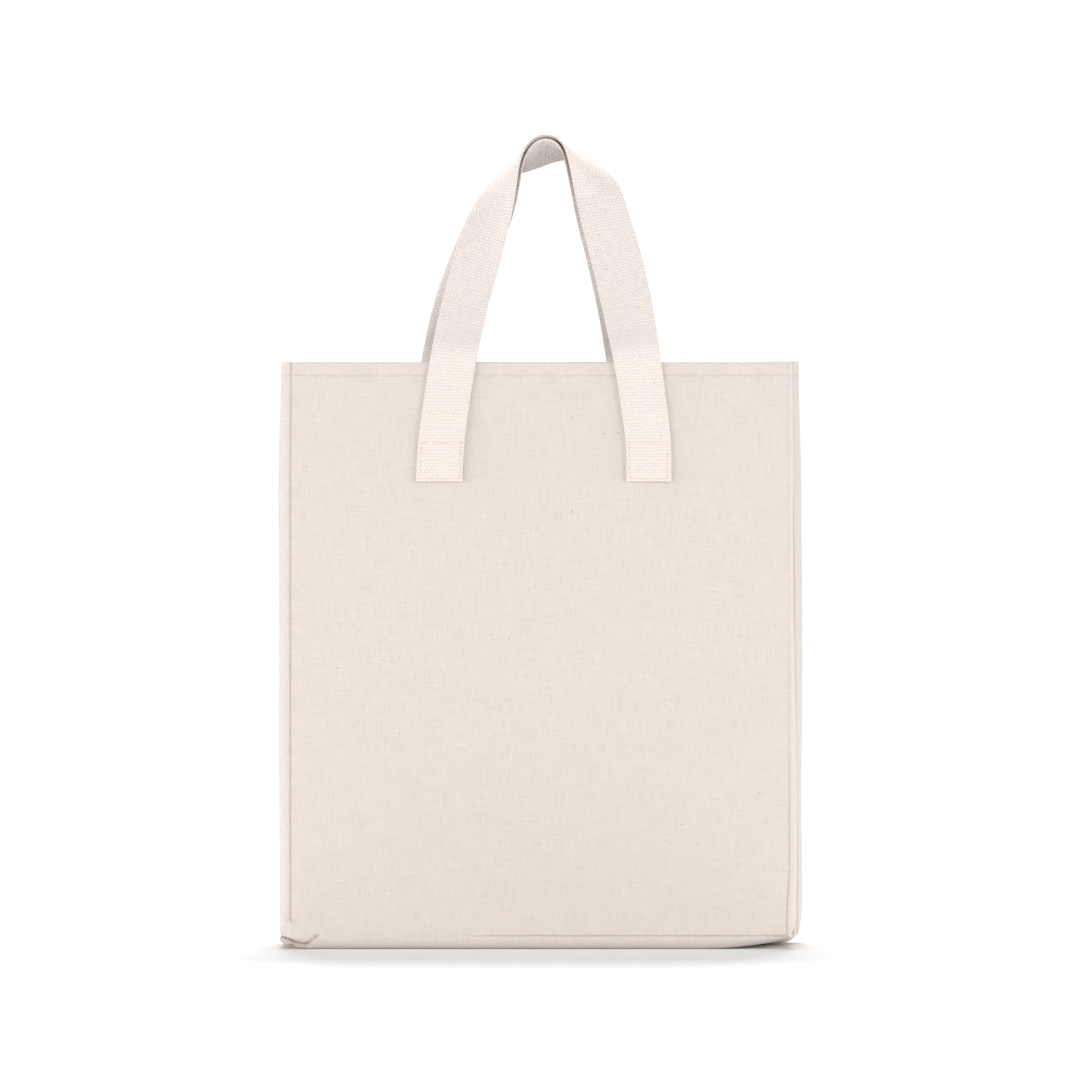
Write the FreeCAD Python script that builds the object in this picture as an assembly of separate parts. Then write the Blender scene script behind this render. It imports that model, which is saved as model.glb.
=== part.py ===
"""Canvas tote bag with a box gusset, two webbing handles and a turned hem round its mouth.

Frame: millimetres, +Z up, the front panel faces -Y, left is -X as seen from the front. The origin is
at the middle of the base, on the surface that the bag stands on.

The bag folds flat as such a bag does: the two side gussets crease inwards along their middle and the
base creases upwards along its middle, so the front panel comes straight back to the back panel.
Every crease turns on the outer face of the cloth and every seam on its inner face.
"""
import math
import os

import FreeCAD
import Part

# Body of the bag
BAG_WIDTH = 370.0
BAG_DEPTH = 100.0
BAG_HEIGHT = 417.0
CANVAS = 0.8
GAP = 0.3
CREASE_GAP = 0.15

# Turned hem: two more layers of canvas inside the mouth
HEM_HEIGHT = 10.0
HEM_LAYERS = 2.0 * CANVAS
PANEL_HEM_END = 7.5
GUSSET_HEM_START = 14.0
GUSSET_HEM_CREASE_GAP = 1.0

# Lower corners, where the side and base creases meet and the cloth crumples
MITRE_OFFSET = 0.5
CORNER_GAP = 0.45

# Sewing thread
THREAD_WIDTH = 0.5
THREAD_PROUD = 0.25
THREAD_END_GAP = 3.0
SEAM_THREAD_INSET = 2.5
SEAM_THREAD_WIDTH = 0.4
SEAM_THREAD_HEIGHT = 0.3

# Webbing handles
WEBBING_WIDTH = 32.0
WEBBING = 1.8
TAB_BOTTOM = 332.0
TAB_TOP = 361.0
LEFT_TAB_X = -71.0
RIGHT_TAB_X = 77.5
TAB_THREAD_INSET = 2.0
BACK_SHIFT = -6.0
HANDLE_OFFSET = 0.5
LOOP_START = BAG_HEIGHT + 1.0
LOOP_LEAN_IN = 34.9
LOOP_SECTIONS = 33

# The handle's two edges, each station as (inner x, inner z, outer x, outer z), left foot to right foot
LOOP_STATIONS = (
    (-45.6, LOOP_START + GAP, -78.0, LOOP_START + GAP),
    (-33.4, 470.0, -65.0, 479.0),
    (-22.0, 512.0, -47.0, 524.0),
    (-15.5, 548.0, -30.0, 549.0),
    (-9.0, 570.0, -14.0, 560.0),
    (3.0, 578.0, 6.0, 564.0),
    (15.0, 571.0, 24.0, 565.0),
    (20.5, 556.0, 41.0, 557.0),
    (27.4, 525.0, 57.5, 535.0),
    (38.0, 489.5, 69.0, 497.0),
    (53.0, LOOP_START + GAP, 85.4, LOOP_START + GAP),
)

HALF_WIDTH = BAG_WIDTH / 2.0
HALF_DEPTH = BAG_DEPTH / 2.0
INNER_X = HALF_WIDTH - CANVAS
INNER_Y = HALF_DEPTH - CANVAS
HEM_BOTTOM = BAG_HEIGHT - HEM_HEIGHT

LEFT = -1.0
RIGHT = 1.0
FRONT = -1.0
BACK = 1.0
SIDES = {"left": LEFT, "right": RIGHT}
FACES = {"front": FRONT, "back": BACK}


def save(name, shape):
    """Writes one sub-part, after a test that it is one closed, valid solid."""
    if not shape.isValid() or len(shape.Solids) != 1 or shape.Volume <= 0.0:
        raise ValueError(f"{name} isn't one closed solid")
    shape.Solids[0].exportStep(os.path.join("parts", name + ".step"))


def block(x_range, y_range, z_range):
    """A rectangular solid between two limits on each axis, given in either order."""
    low = [min(limits) for limits in (x_range, y_range, z_range)]
    size = [abs(limits[1] - limits[0]) for limits in (x_range, y_range, z_range)]
    return Part.makeBox(*size, FreeCAD.Vector(*low))


def prism(corners, thickness):
    """A flat polygon given by its corners, thickened along a vector."""
    vectors = [FreeCAD.Vector(*corner) for corner in corners]
    outline = Part.makePolygon(vectors + vectors[:1])
    return Part.Face(outline).extrude(FreeCAD.Vector(*thickness))


def skin(sections):
    """A closed solid through a row of four-cornered sections, skinned with flat triangles."""
    triangles = []
    for near, far in zip(sections, sections[1:]):
        for first in range(4):
            second = (first + 1) % 4
            triangles.append((near[first], near[second], far[second]))
            triangles.append((near[first], far[second], far[first]))
    for end in (sections[0], sections[-1]):
        triangles.append((end[0], end[1], end[2]))
        triangles.append((end[0], end[2], end[3]))
    faces = [Part.Face(Part.makePolygon([*corners, corners[0]])) for corners in triangles]
    solid = Part.Solid(Part.Shell(faces))
    if solid.Volume < 0.0:
        solid.reverse()
    return solid


def panel(face):
    """The front or back panel, one flat piece of canvas from base to mouth."""
    return block((-HALF_WIDTH, HALF_WIDTH), (face * HALF_DEPTH, face * INNER_Y), (0.0, BAG_HEIGHT))


def panel_hem(face):
    """The two turned-in layers along a panel's mouth, clear of the side gussets as they fold."""
    end = INNER_X - PANEL_HEM_END
    inner = INNER_Y - HEM_LAYERS
    return block((-end, end), (face * INNER_Y, face * inner), (HEM_BOTTOM, BAG_HEIGHT))


def panel_hem_thread(face):
    """The row of stitching that shows outside a panel, along the hem's lower edge."""
    end = INNER_X - PANEL_HEM_END
    outer = HALF_DEPTH + THREAD_PROUD
    return block((-end, end), (face * HALF_DEPTH, face * outer), (HEM_BOTTOM, HEM_BOTTOM + THREAD_WIDTH))


def panel_seam_thread(face):
    """The seam that joins a panel to the gusset, down one side, along the base and up the other."""
    outer_x = INNER_X - SEAM_THREAD_INSET
    inner_x = outer_x - SEAM_THREAD_WIDTH
    low = CANVAS + SEAM_THREAD_INSET
    top = HEM_BOTTOM - GAP
    depth = (face * INNER_Y, face * (INNER_Y - SEAM_THREAD_HEIGHT))
    thread = block((-outer_x, outer_x), depth, (low, low + SEAM_THREAD_WIDTH))
    for side in SIDES.values():
        thread = thread.fuse(block((side * outer_x, side * inner_x), depth, (low, top)))
    return thread.removeSplitter()


def gusset_half(side, face):
    """One half of a side gusset, from a panel's seam to the middle crease, mitred at its foot."""
    seam = INNER_Y - GAP
    foot = CANVAS + MITRE_OFFSET
    outer = side * HALF_WIDTH
    corners = [
        (outer, face * seam, foot + GAP),
        (outer, face * CREASE_GAP, foot + INNER_Y - CREASE_GAP),
        (outer, face * CREASE_GAP, BAG_HEIGHT),
        (outer, face * seam, BAG_HEIGHT),
    ]
    return prism(corners, (-side * CANVAS, 0.0, 0.0))


def gusset_hem(side, face):
    """The turned-in layers along a gusset half's mouth, clear of the panel's hem as they fold."""
    start = INNER_Y - GUSSET_HEM_START
    inner = INNER_X - HEM_LAYERS
    return block(
        (side * INNER_X, side * inner),
        (face * start, face * GUSSET_HEM_CREASE_GAP),
        (HEM_BOTTOM, BAG_HEIGHT),
    )


def gusset_hem_thread(side, face):
    """The row of hem stitching outside a gusset half."""
    outer = HALF_WIDTH + THREAD_PROUD
    return block(
        (side * HALF_WIDTH, side * outer),
        (face * (INNER_Y - THREAD_END_GAP), face * THREAD_END_GAP),
        (HEM_BOTTOM, HEM_BOTTOM + THREAD_WIDTH),
    )


def base_half(face):
    """One half of the base, from a panel's seam to the middle crease, mitred at both ends."""
    seam = INNER_Y - GAP
    seam_x = INNER_X - MITRE_OFFSET - GAP
    crease_x = INNER_X - MITRE_OFFSET - INNER_Y + CREASE_GAP
    corners = [
        (-seam_x, face * seam, 0.0),
        (seam_x, face * seam, 0.0),
        (crease_x, face * CREASE_GAP, 0.0),
        (-crease_x, face * CREASE_GAP, 0.0),
    ]
    return prism(corners, (0.0, 0.0, CANVAS))


def base_corner(side):
    """The cloth between the mitres: a triangle of side gusset and one of base, on one folded edge."""
    seam = INNER_Y - GAP
    rise = MITRE_OFFSET - CORNER_GAP + GAP
    reach = INNER_Y + MITRE_OFFSET - CORNER_GAP
    outer = side * HALF_WIDTH
    upright = prism(
        [
            (outer, -seam, 0.0),
            (outer, seam, 0.0),
            (outer, seam, CANVAS + rise),
            (outer, 0.0, CANVAS + reach),
            (outer, -seam, CANVAS + rise),
        ],
        (-side * CANVAS, 0.0, 0.0),
    )
    flat = prism(
        [
            (outer, -seam, 0.0),
            (outer, seam, 0.0),
            (side * (INNER_X - rise), seam, 0.0),
            (side * (INNER_X - reach), 0.0, 0.0),
            (side * (INNER_X - rise), -seam, 0.0),
        ],
        (0.0, 0.0, CANVAS),
    )
    return upright.fuse(flat).removeSplitter()


def tab_centre(side, face):
    """The middle of a sewn handle end across the bag; the back pair sits a little to the left."""
    middle = LEFT_TAB_X if side == LEFT else RIGHT_TAB_X
    return middle + (BACK_SHIFT if face == BACK else 0.0)


def tab(side, face):
    """The end of a handle's webbing that is sewn flat to the outside of a panel."""
    middle = tab_centre(side, face)
    half = WEBBING_WIDTH / 2.0
    depth = (face * HALF_DEPTH, face * (HALF_DEPTH + WEBBING))
    return block((middle - half, middle + half), depth, (TAB_BOTTOM, TAB_TOP))


def tab_thread(side, face):
    """The box of stitching that holds a handle's end."""
    middle = tab_centre(side, face)
    half = WEBBING_WIDTH / 2.0 - TAB_THREAD_INSET
    low = TAB_BOTTOM + TAB_THREAD_INSET
    high = TAB_TOP - TAB_THREAD_INSET
    surface = HALF_DEPTH + WEBBING
    depth = (face * surface, face * (surface + THREAD_PROUD))
    rim = block((middle - half, middle + half), depth, (low, high))
    hole = block(
        (middle - half + THREAD_WIDTH, middle + half - THREAD_WIDTH),
        depth,
        (low + THREAD_WIDTH, high - THREAD_WIDTH),
    )
    return rim.cut(hole)


def handle_root(side, face):
    """The free webbing between a sewn end and the mouth, which lies against the panel."""
    middle = tab_centre(side, face)
    half = WEBBING_WIDTH / 2.0
    foot = LOOP_STATIONS[0] if side == LEFT else LOOP_STATIONS[-1]
    shift = BACK_SHIFT if face == BACK else 0.0
    near = face * (HALF_DEPTH + HANDLE_OFFSET)
    low = TAB_TOP + GAP
    top_x = sorted((foot[0] + shift, foot[2] + shift))
    corners = [
        (middle - half, near, low),
        (middle + half, near, low),
        (top_x[1], near, LOOP_START),
        (top_x[0], near, LOOP_START),
    ]
    return prism(corners, (0.0, face * WEBBING, 0.0))


def edge_curve(x_index):
    """A smooth curve through one edge's stations, drawn in the XZ plane."""
    points = [FreeCAD.Vector(s[x_index], 0.0, s[x_index + 1]) for s in LOOP_STATIONS]
    curve = Part.BSplineCurve()
    curve.interpolate(points, Parameters=[float(n) for n in range(len(points))])
    return curve


def handle_loop(face):
    """The arch of webbing above the mouth. Its feet face front and back, its top faces up.

    The depth between its two edges follows from the webbing's width, and the whole arch leans over
    the mouth until the front and back handles nearly meet.
    """
    inner_edge = edge_curve(0)
    outer_edge = edge_curve(2)
    foot = HALF_DEPTH + HANDLE_OFFSET + WEBBING / 2.0
    base_z = LOOP_STATIONS[0][1]
    top_z = max((s[1] + s[3]) / 2.0 for s in LOOP_STATIONS)
    shift = BACK_SHIFT if face == BACK else 0.0
    inner = []
    outer = []
    for number in range(LOOP_SECTIONS):
        share = (len(LOOP_STATIONS) - 1) * number / (LOOP_SECTIONS - 1)
        near = inner_edge.value(share)
        far = outer_edge.value(share)
        across = math.hypot(near.x - far.x, near.z - far.z)
        turned = math.sqrt(max(WEBBING_WIDTH**2 - across**2, 0.0))
        lean = LOOP_LEAN_IN * ((near.z + far.z) / 2.0 - base_z) / (top_z - base_z)
        middle = face * (foot - lean)
        inner.append(FreeCAD.Vector(near.x + shift, middle - turned / 2.0, near.z))
        outer.append(FreeCAD.Vector(far.x + shift, middle + turned / 2.0, far.z))
    sections = []
    for number in range(LOOP_SECTIONS):
        before = max(number - 1, 0)
        after = min(number + 1, LOOP_SECTIONS - 1)
        along = (inner[after] + outer[after]) - (inner[before] + outer[before])
        normal = along.cross(outer[number] - inner[number])
        if number in (0, LOOP_SECTIONS - 1):
            normal = FreeCAD.Vector(0.0, normal.y, 0.0)
        half = normal.normalize() * (WEBBING / 2.0)
        corners = [inner[number] - half, inner[number] + half, outer[number] + half, outer[number] - half]
        sections.append(corners)
    return skin(sections)


def main():
    os.makedirs("parts", exist_ok=True)
    for face_name, face in FACES.items():
        save(f"{face_name}_panel", panel(face))
        save(f"{face_name}_hem", panel_hem(face))
        save(f"{face_name}_hem_thread", panel_hem_thread(face))
        save(f"{face_name}_seam_thread", panel_seam_thread(face))
        save(f"base_{face_name}_half", base_half(face))
        save(f"{face_name}_handle_loop", handle_loop(face))
        for side_name, side in SIDES.items():
            save(f"{face_name}_{side_name}_tab", tab(side, face))
            save(f"{face_name}_{side_name}_tab_thread", tab_thread(side, face))
            save(f"{face_name}_{side_name}_handle_root", handle_root(side, face))
            save(f"{side_name}_gusset_{face_name}_half", gusset_half(side, face))
            save(f"{side_name}_gusset_{face_name}_hem", gusset_hem(side, face))
            save(f"{side_name}_gusset_{face_name}_hem_thread", gusset_hem_thread(side, face))
    for side_name, side in SIDES.items():
        save(f"{side_name}_base_corner", base_corner(side))


main()
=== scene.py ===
"""Canvas tote bag: a sewn box of natural canvas with a turned hem and two cotton webbing handles."""

import math

import bpy
import numpy as np
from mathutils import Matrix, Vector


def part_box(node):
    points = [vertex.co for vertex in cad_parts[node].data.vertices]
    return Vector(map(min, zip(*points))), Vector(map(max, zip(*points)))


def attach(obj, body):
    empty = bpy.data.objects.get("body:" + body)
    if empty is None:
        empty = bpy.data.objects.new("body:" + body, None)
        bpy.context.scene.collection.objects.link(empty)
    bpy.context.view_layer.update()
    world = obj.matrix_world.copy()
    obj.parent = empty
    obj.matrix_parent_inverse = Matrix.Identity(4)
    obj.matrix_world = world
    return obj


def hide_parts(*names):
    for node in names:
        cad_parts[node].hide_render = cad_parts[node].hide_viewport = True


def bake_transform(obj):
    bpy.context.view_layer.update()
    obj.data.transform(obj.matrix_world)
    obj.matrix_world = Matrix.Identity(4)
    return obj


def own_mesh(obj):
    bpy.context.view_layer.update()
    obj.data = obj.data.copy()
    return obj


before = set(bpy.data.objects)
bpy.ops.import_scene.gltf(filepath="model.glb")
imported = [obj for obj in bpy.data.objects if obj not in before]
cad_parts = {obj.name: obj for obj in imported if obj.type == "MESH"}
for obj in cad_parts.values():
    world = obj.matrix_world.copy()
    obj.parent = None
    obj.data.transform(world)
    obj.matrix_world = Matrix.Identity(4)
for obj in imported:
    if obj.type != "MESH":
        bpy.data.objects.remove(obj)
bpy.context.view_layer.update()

bl_info = {
    "name": "Canvas tote bag",
    "version": (1, 0, 0),
    "blender": (4, 5, 0),
    "location": "View3D > Sidebar > Tote bag",
    "description": "Builds the cloth, stitching and webbing handles of a canvas tote bag",
    "category": "Object",
}

# Shapes are worked out in millimetres; Blender and the frame are in metres.
TO_MM = 1000.0
TO_M = 0.001

# The sewn box, in millimetres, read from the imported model.
HALF_WIDTH = -TO_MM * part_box("left_gusset_front_half")[0][0]
HALF_DEPTH = TO_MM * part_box("back_panel")[1][1]
HEIGHT = TO_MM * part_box("front_panel")[1][2]

# How far each edge of the box is rounded, and where the mitred corners of gusset and base begin.
EDGE_ROUND = 8.0
BASE_ROUND = 9.3
SEAM_X = HALF_WIDTH - EDGE_ROUND
TOP_ROUND = 1.0
GUSSET_MITRE = 0.8
BASE_MITRE = 0.84
GUSSET_CUT_Y = 38.0

# The hem is folded in and sewn down.
HEM_EDGE_Z = 405.8
HEM_STITCH_Z = 407.3
HEM_THICKNESS = 2.4
HEM_TURNED_IN = HEIGHT - HEM_EDGE_Z + 2.0

# The webbing's two edges in millimetres, from the left tab over the top to the right tab:
# inner edge x and z, outer edge x and z.
FRONT_WEBBING = (
    (-55.0, 332.0, -88.0, 332.0),
    (-54.4, 346.0, -87.4, 346.0),
    (-53.6, 361.0, -86.6, 361.0),
    (-50.0, 388.0, -82.9, 388.0),
    (-45.6, 416.0, -78.4, 418.0),
    (-39.6, 448.0, -71.5, 455.0),
    (-31.6, 478.0, -63.0, 487.0),
    (-24.9, 503.0, -55.9, 514.0),
    (-19.8, 524.0, -47.6, 530.5),
    (-17.2, 540.0, -39.6, 542.3),
    (-16.0, 551.0, -31.6, 551.2),
    (-14.6, 560.0, -24.0, 558.0),
    (-11.6, 570.0, -16.0, 562.0),
    (-5.5, 577.6, -7.0, 562.6),
    (3.0, 580.6, 4.0, 563.0),
    (11.0, 579.0, 16.0, 566.2),
    (16.2, 574.2, 28.5, 566.8),
    (19.0, 567.0, 40.0, 561.0),
    (20.8, 559.0, 49.0, 554.6),
    (22.8, 548.0, 55.6, 547.0),
    (25.4, 535.0, 59.6, 538.5),
    (29.6, 515.0, 64.2, 521.0),
    (35.4, 494.0, 70.4, 502.0),
    (39.8, 475.0, 74.9, 484.0),
    (46.2, 446.0, 81.2, 453.0),
    (52.4, 417.5, 85.8, 418.5),
    (57.2, 388.0, 90.0, 388.0),
    (61.0, 361.0, 93.3, 361.0),
    (61.2, 346.0, 93.3, 346.0),
    (61.3, 332.0, 93.3, 332.0),
)
BACK_WEBBING = (
    (-61.0, 332.0, -94.0, 332.0),
    (-60.8, 346.0, -93.8, 346.0),
    (-60.6, 361.0, -93.6, 361.0),
    (-57.4, 388.0, -90.5, 388.0),
    (-53.5, 416.0, -86.4, 418.0),
    (-46.6, 448.0, -79.0, 455.0),
    (-36.6, 478.0, -67.8, 487.0),
    (-26.8, 503.0, -57.0, 513.0),
    (-18.8, 524.0, -46.6, 530.5),
    (-15.4, 540.0, -38.6, 541.2),
    (-13.8, 551.0, -31.0, 548.6),
    (-12.3, 560.0, -24.0, 552.2),
    (-9.4, 568.4, -16.6, 553.6),
    (-4.2, 575.2, -8.0, 555.6),
    (3.0, 577.7, 1.6, 559.0),
    (9.6, 576.4, 11.0, 562.8),
    (14.0, 572.0, 20.0, 564.6),
    (17.0, 565.4, 33.0, 560.8),
    (18.8, 558.0, 45.0, 554.6),
    (20.8, 547.5, 53.0, 545.6),
    (23.4, 535.0, 57.2, 537.0),
    (27.4, 515.0, 61.6, 521.0),
    (33.0, 495.0, 67.2, 503.0),
    (37.4, 476.0, 72.0, 484.0),
    (43.6, 447.0, 78.0, 454.0),
    (48.4, 417.5, 81.6, 418.5),
    (52.2, 388.0, 85.0, 388.0),
    (55.4, 361.0, 87.6, 361.0),
    (55.4, 346.0, 87.6, 346.0),
    (55.4, 332.0, 87.6, 332.0),
)
WEBBING_WIDTH = 34.0
WEBBING_CUT_Z = 395.0
APEX_Z = 580.0
HANDLES = ((-1.0, "front", FRONT_WEBBING), (1.0, "back", BACK_WEBBING))

# The box of stitching on each end of a handle: its lowest and highest row, and its distance from the edge.
TAB_LOW, TAB_HIGH, TAB_INSET = 334.2, 359.6, 2.2

# What each region of cloth follows: one body, or two bodies and the line over which it turns, in metres.
HALF, DEEP = HALF_WIDTH * TO_M, HALF_DEPTH * TO_M
FOLLOWS = {
    "front_panel": ("front_panel",),
    "back_panel": ("back_panel",),
    "right_gusset_front": ("right_gusset_front",),
    "right_gusset_back": ("right_gusset_back",),
    "left_gusset": ("left_gusset_back", "left_gusset_front", (-HALF, 0.006, 0.2), (-HALF, -0.006, 0.2)),
    "left_front_corner": (
        "front_panel", "left_gusset_front", (-HALF + 0.006, -DEEP, 0.2), (-HALF, 0.009 - DEEP, 0.2)
    ),
    "left_back_corner": (
        "back_panel", "left_gusset_back", (-HALF + 0.006, DEEP, 0.2), (-HALF, DEEP - 0.009, 0.2)
    ),
    "right_front_corner": (
        "front_panel", "right_gusset_front", (HALF - 0.007, -DEEP, 0.2), (HALF - 0.003, 0.009 - DEEP, 0.2)
    ),
    "right_back_corner": (
        "back_panel", "right_gusset_back", (HALF - 0.005, DEEP, 0.2), (HALF + 0.003, DEEP - 0.009, 0.2)
    ),
    "base_front": ("front_panel", "base_front", (0.0, -DEEP, 0.0072), (0.0, 0.009 - DEEP, 0.001)),
    "base_back": ("back_panel", "base_back", (0.0, DEEP, 0.0072), (0.0, DEEP - 0.009, 0.001)),
}
# The plain solids that each region of cloth stands for.
CLOTH_NODES = {
    "front_panel": ("front_panel", "front_hem"),
    "back_panel": ("back_panel", "back_hem"),
    "right_gusset_front": ("right_gusset_front_half", "right_gusset_front_hem"),
    "right_gusset_back": ("right_gusset_back_half", "right_gusset_back_hem"),
    "left_gusset": (
        "left_gusset_front_half", "left_gusset_front_hem", "left_gusset_back_half", "left_gusset_back_hem"
    ),
    "base_front": ("base_front_half",),
    "base_back": ("base_back_half",),
    "left_corner": ("left_base_corner",),
    "right_corner": ("right_base_corner",),
}
# The plain rows of hem thread that each region's hem stitches stand for.
HEM_NODES = {
    "front_panel": ("front_hem_thread",),
    "back_panel": ("back_hem_thread",),
    "right_gusset_front": ("right_gusset_front_hem_thread",),
    "right_gusset_back": ("right_gusset_back_hem_thread",),
    "left_gusset": ("left_gusset_front_hem_thread", "left_gusset_back_hem_thread"),
    "left_front_corner": (),
    "left_back_corner": (),
    "right_front_corner": (),
    "right_back_corner": (),
}


def linear(code):
    """A colour written as sRGB hex, as linear red, green, blue and alpha."""
    parts = [int(code[i : i + 2], 16) / 255.0 for i in (1, 3, 5)]
    return [p / 12.92 if p <= 0.04045 else ((p + 0.055) / 1.055) ** 2.4 for p in parts] + [1.0]


class ToteBagSettings(bpy.types.PropertyGroup):
    """Sizes and colours of the bag."""

    canvas_thickness: bpy.props.FloatProperty(
        name="Canvas thickness",
        description="Thickness of one layer of canvas",
        default=0.0008,
        min=0.0003,
        max=0.002,
        precision=5,
        unit="LENGTH",
    )
    belly: bpy.props.FloatProperty(
        name="Panel belly",
        description="How far the middle of the front and back panels stands out",
        default=0.0022,
        max=0.006,
        precision=5,
        unit="LENGTH",
    )
    mouth_bow: bpy.props.FloatProperty(
        name="Mouth bow",
        description="How far the handles draw the two long edges of the mouth together",
        default=0.0026,
        max=0.006,
        precision=5,
        unit="LENGTH",
    )
    webbing_thickness: bpy.props.FloatProperty(
        name="Webbing thickness",
        description="Thickness of the cotton webbing",
        default=0.0018,
        min=0.001,
        max=0.003,
        precision=5,
        unit="LENGTH",
    )
    stitch_pitch: bpy.props.FloatProperty(
        name="Stitch pitch",
        description="Distance from one stitch to the next",
        default=0.0030,
        min=0.002,
        max=0.006,
        precision=5,
        unit="LENGTH",
    )
    stitch_length: bpy.props.FloatProperty(
        name="Stitch length",
        description="Length of thread that shows in one stitch",
        default=0.0023,
        min=0.001,
        max=0.005,
        precision=5,
        unit="LENGTH",
    )
    thread_radius: bpy.props.FloatProperty(
        name="Thread radius",
        description="Half the thickness of the sewing thread",
        default=0.00026,
        min=0.0001,
        max=0.0006,
        precision=6,
        unit="LENGTH",
    )
    canvas_colour: bpy.props.FloatVectorProperty(
        name="Canvas",
        description="Colour of the unbleached cotton canvas",
        size=4,
        min=0.0,
        max=1.0,
        default=linear("#C1B9B2"),
        subtype="COLOR",
    )
    webbing_colour: bpy.props.FloatVectorProperty(
        name="Webbing",
        description="Colour of the cotton webbing",
        size=4,
        min=0.0,
        max=1.0,
        default=linear("#D2CBC6"),
        subtype="COLOR",
    )
    thread_colour: bpy.props.FloatVectorProperty(
        name="Thread",
        description="Colour of the sewing thread",
        size=4,
        min=0.0,
        max=1.0,
        default=linear("#CDBFAE"),
        subtype="COLOR",
    )


# ---------------------------------------------------------------- materials


MATH, VECTOR_MATH, NOISE = "ShaderNodeMath", "ShaderNodeVectorMath", "ShaderNodeTexNoise"
ADD, SUBTRACT, TIMES, DIVIDE, TIMES_ADD, SCALE, POWER, SINE, FLOOR, FRACTION, REMAINDER, LESS = (
    {"operation": name}
    for name in (
        "ADD", "SUBTRACT", "MULTIPLY", "DIVIDE", "MULTIPLY_ADD", "SCALE",
        "POWER", "SINE", "FLOOR", "FRACT", "FLOORED_MODULO", "LESS_THAN",
    )
)

# Two threads of the canvas and one knuckle of the webbing, in metres.
CANVAS_REPEAT = 0.0026
KNUCKLE_WIDE, KNUCKLE_LONG = 0.0029, 0.0022


def add(tree, kind, settings=None, *values, **named):
    """Add a node with its settings and inputs, given in order, by name, or as _6 for the input numbered 6.

    An input is a value, another node's socket, or another node, which gives its first output.
    """
    node = tree.nodes.new(kind)
    for key, value in (settings or {}).items():
        setattr(node, key, value)
    places = list(enumerate(values))
    for key, value in named.items():
        places.append((int(key[1:]) if key[1:].isdigit() else key.replace("_", " "), value))
    for place, value in places:
        if isinstance(value, bpy.types.Node):
            value = value.outputs[0]
        if isinstance(value, bpy.types.NodeSocket):
            tree.links.new(value, node.inputs[place])
        else:
            node.inputs[place].default_value = value
    return node


def new_material(name):
    """An empty material and its tree."""
    material = bpy.data.materials.new(name)
    material.use_nodes = True
    material.node_tree.nodes.clear()
    return material, material.node_tree


def layered(tree, start, *layers):
    """A starting value plus each pattern times its weight."""
    for pattern, weight in layers:
        start = add(tree, MATH, TIMES_ADD, pattern, weight, start)
    return start


def toned(tree, tone, colour):
    """A colour made lighter and darker by a tone."""
    grey = add(tree, "ShaderNodeCombineColor", None, Red=tone, Green=tone, Blue=tone)
    multiply = {"data_type": "RGBA", "blend_type": "MULTIPLY"}
    return add(tree, "ShaderNodeMix", multiply, _0=1.0, _6=tuple(colour), _7=grey).outputs[2]


def stain_and_painted_shade(tree, amount, colour, tint):
    """A colour turned by an amount towards a tint: a real stain for husk flecks, painted shade for creases
    and the gaps between knuckles.
    """
    mix = add(tree, "ShaderNodeMix", {"data_type": "RGBA"}, _0=amount, _6=colour, _7=linear(tint))
    return mix.outputs[2]


def uneven_axes(tree, cloth, waves, reach):
    """The cloth's own u and v, bent a little so that no yarn runs dead straight."""
    wander = add(tree, NOISE, None, Vector=cloth, Scale=waves, Detail=1.0).outputs["Color"]
    centred = add(tree, VECTOR_MATH, SUBTRACT, wander, (0.5, 0.5, 0.5))
    small = add(tree, VECTOR_MATH, SCALE, centred, Scale=reach)
    return add(tree, "ShaderNodeSeparateXYZ", None, add(tree, VECTOR_MATH, ADD, cloth, small)).outputs


def husk_flecks(tree, cloth, cells, size, share):
    """Sparse specks of seed husk: up to 1 on a speck and 0 elsewhere."""
    cell = add(tree, "ShaderNodeTexVoronoi", {"voronoi_dimensions": "2D"}, Vector=cloth, Scale=cells)
    near = add(tree, MATH, LESS, cell.outputs["Distance"], size)
    pick = add(tree, "ShaderNodeSeparateColor", None, cell.outputs["Color"])
    chosen = add(tree, MATH, LESS, pick.outputs[0], share)
    return add(tree, MATH, TIMES, near, add(tree, MATH, TIMES, chosen, pick.outputs[1]))


def finish_fabric(tree, colour, height, strength, depth, **surface):
    """End a fabric's tree with its bump, its matt shader and the output."""
    bump = add(tree, "ShaderNodeBump", None, Strength=strength, Distance=depth, Height=height)
    shader = add(tree, "ShaderNodeBsdfPrincipled", None, Base_Color=colour, Normal=bump, **surface)
    add(tree, "ShaderNodeOutputMaterial", None, Surface=shader)


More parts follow.
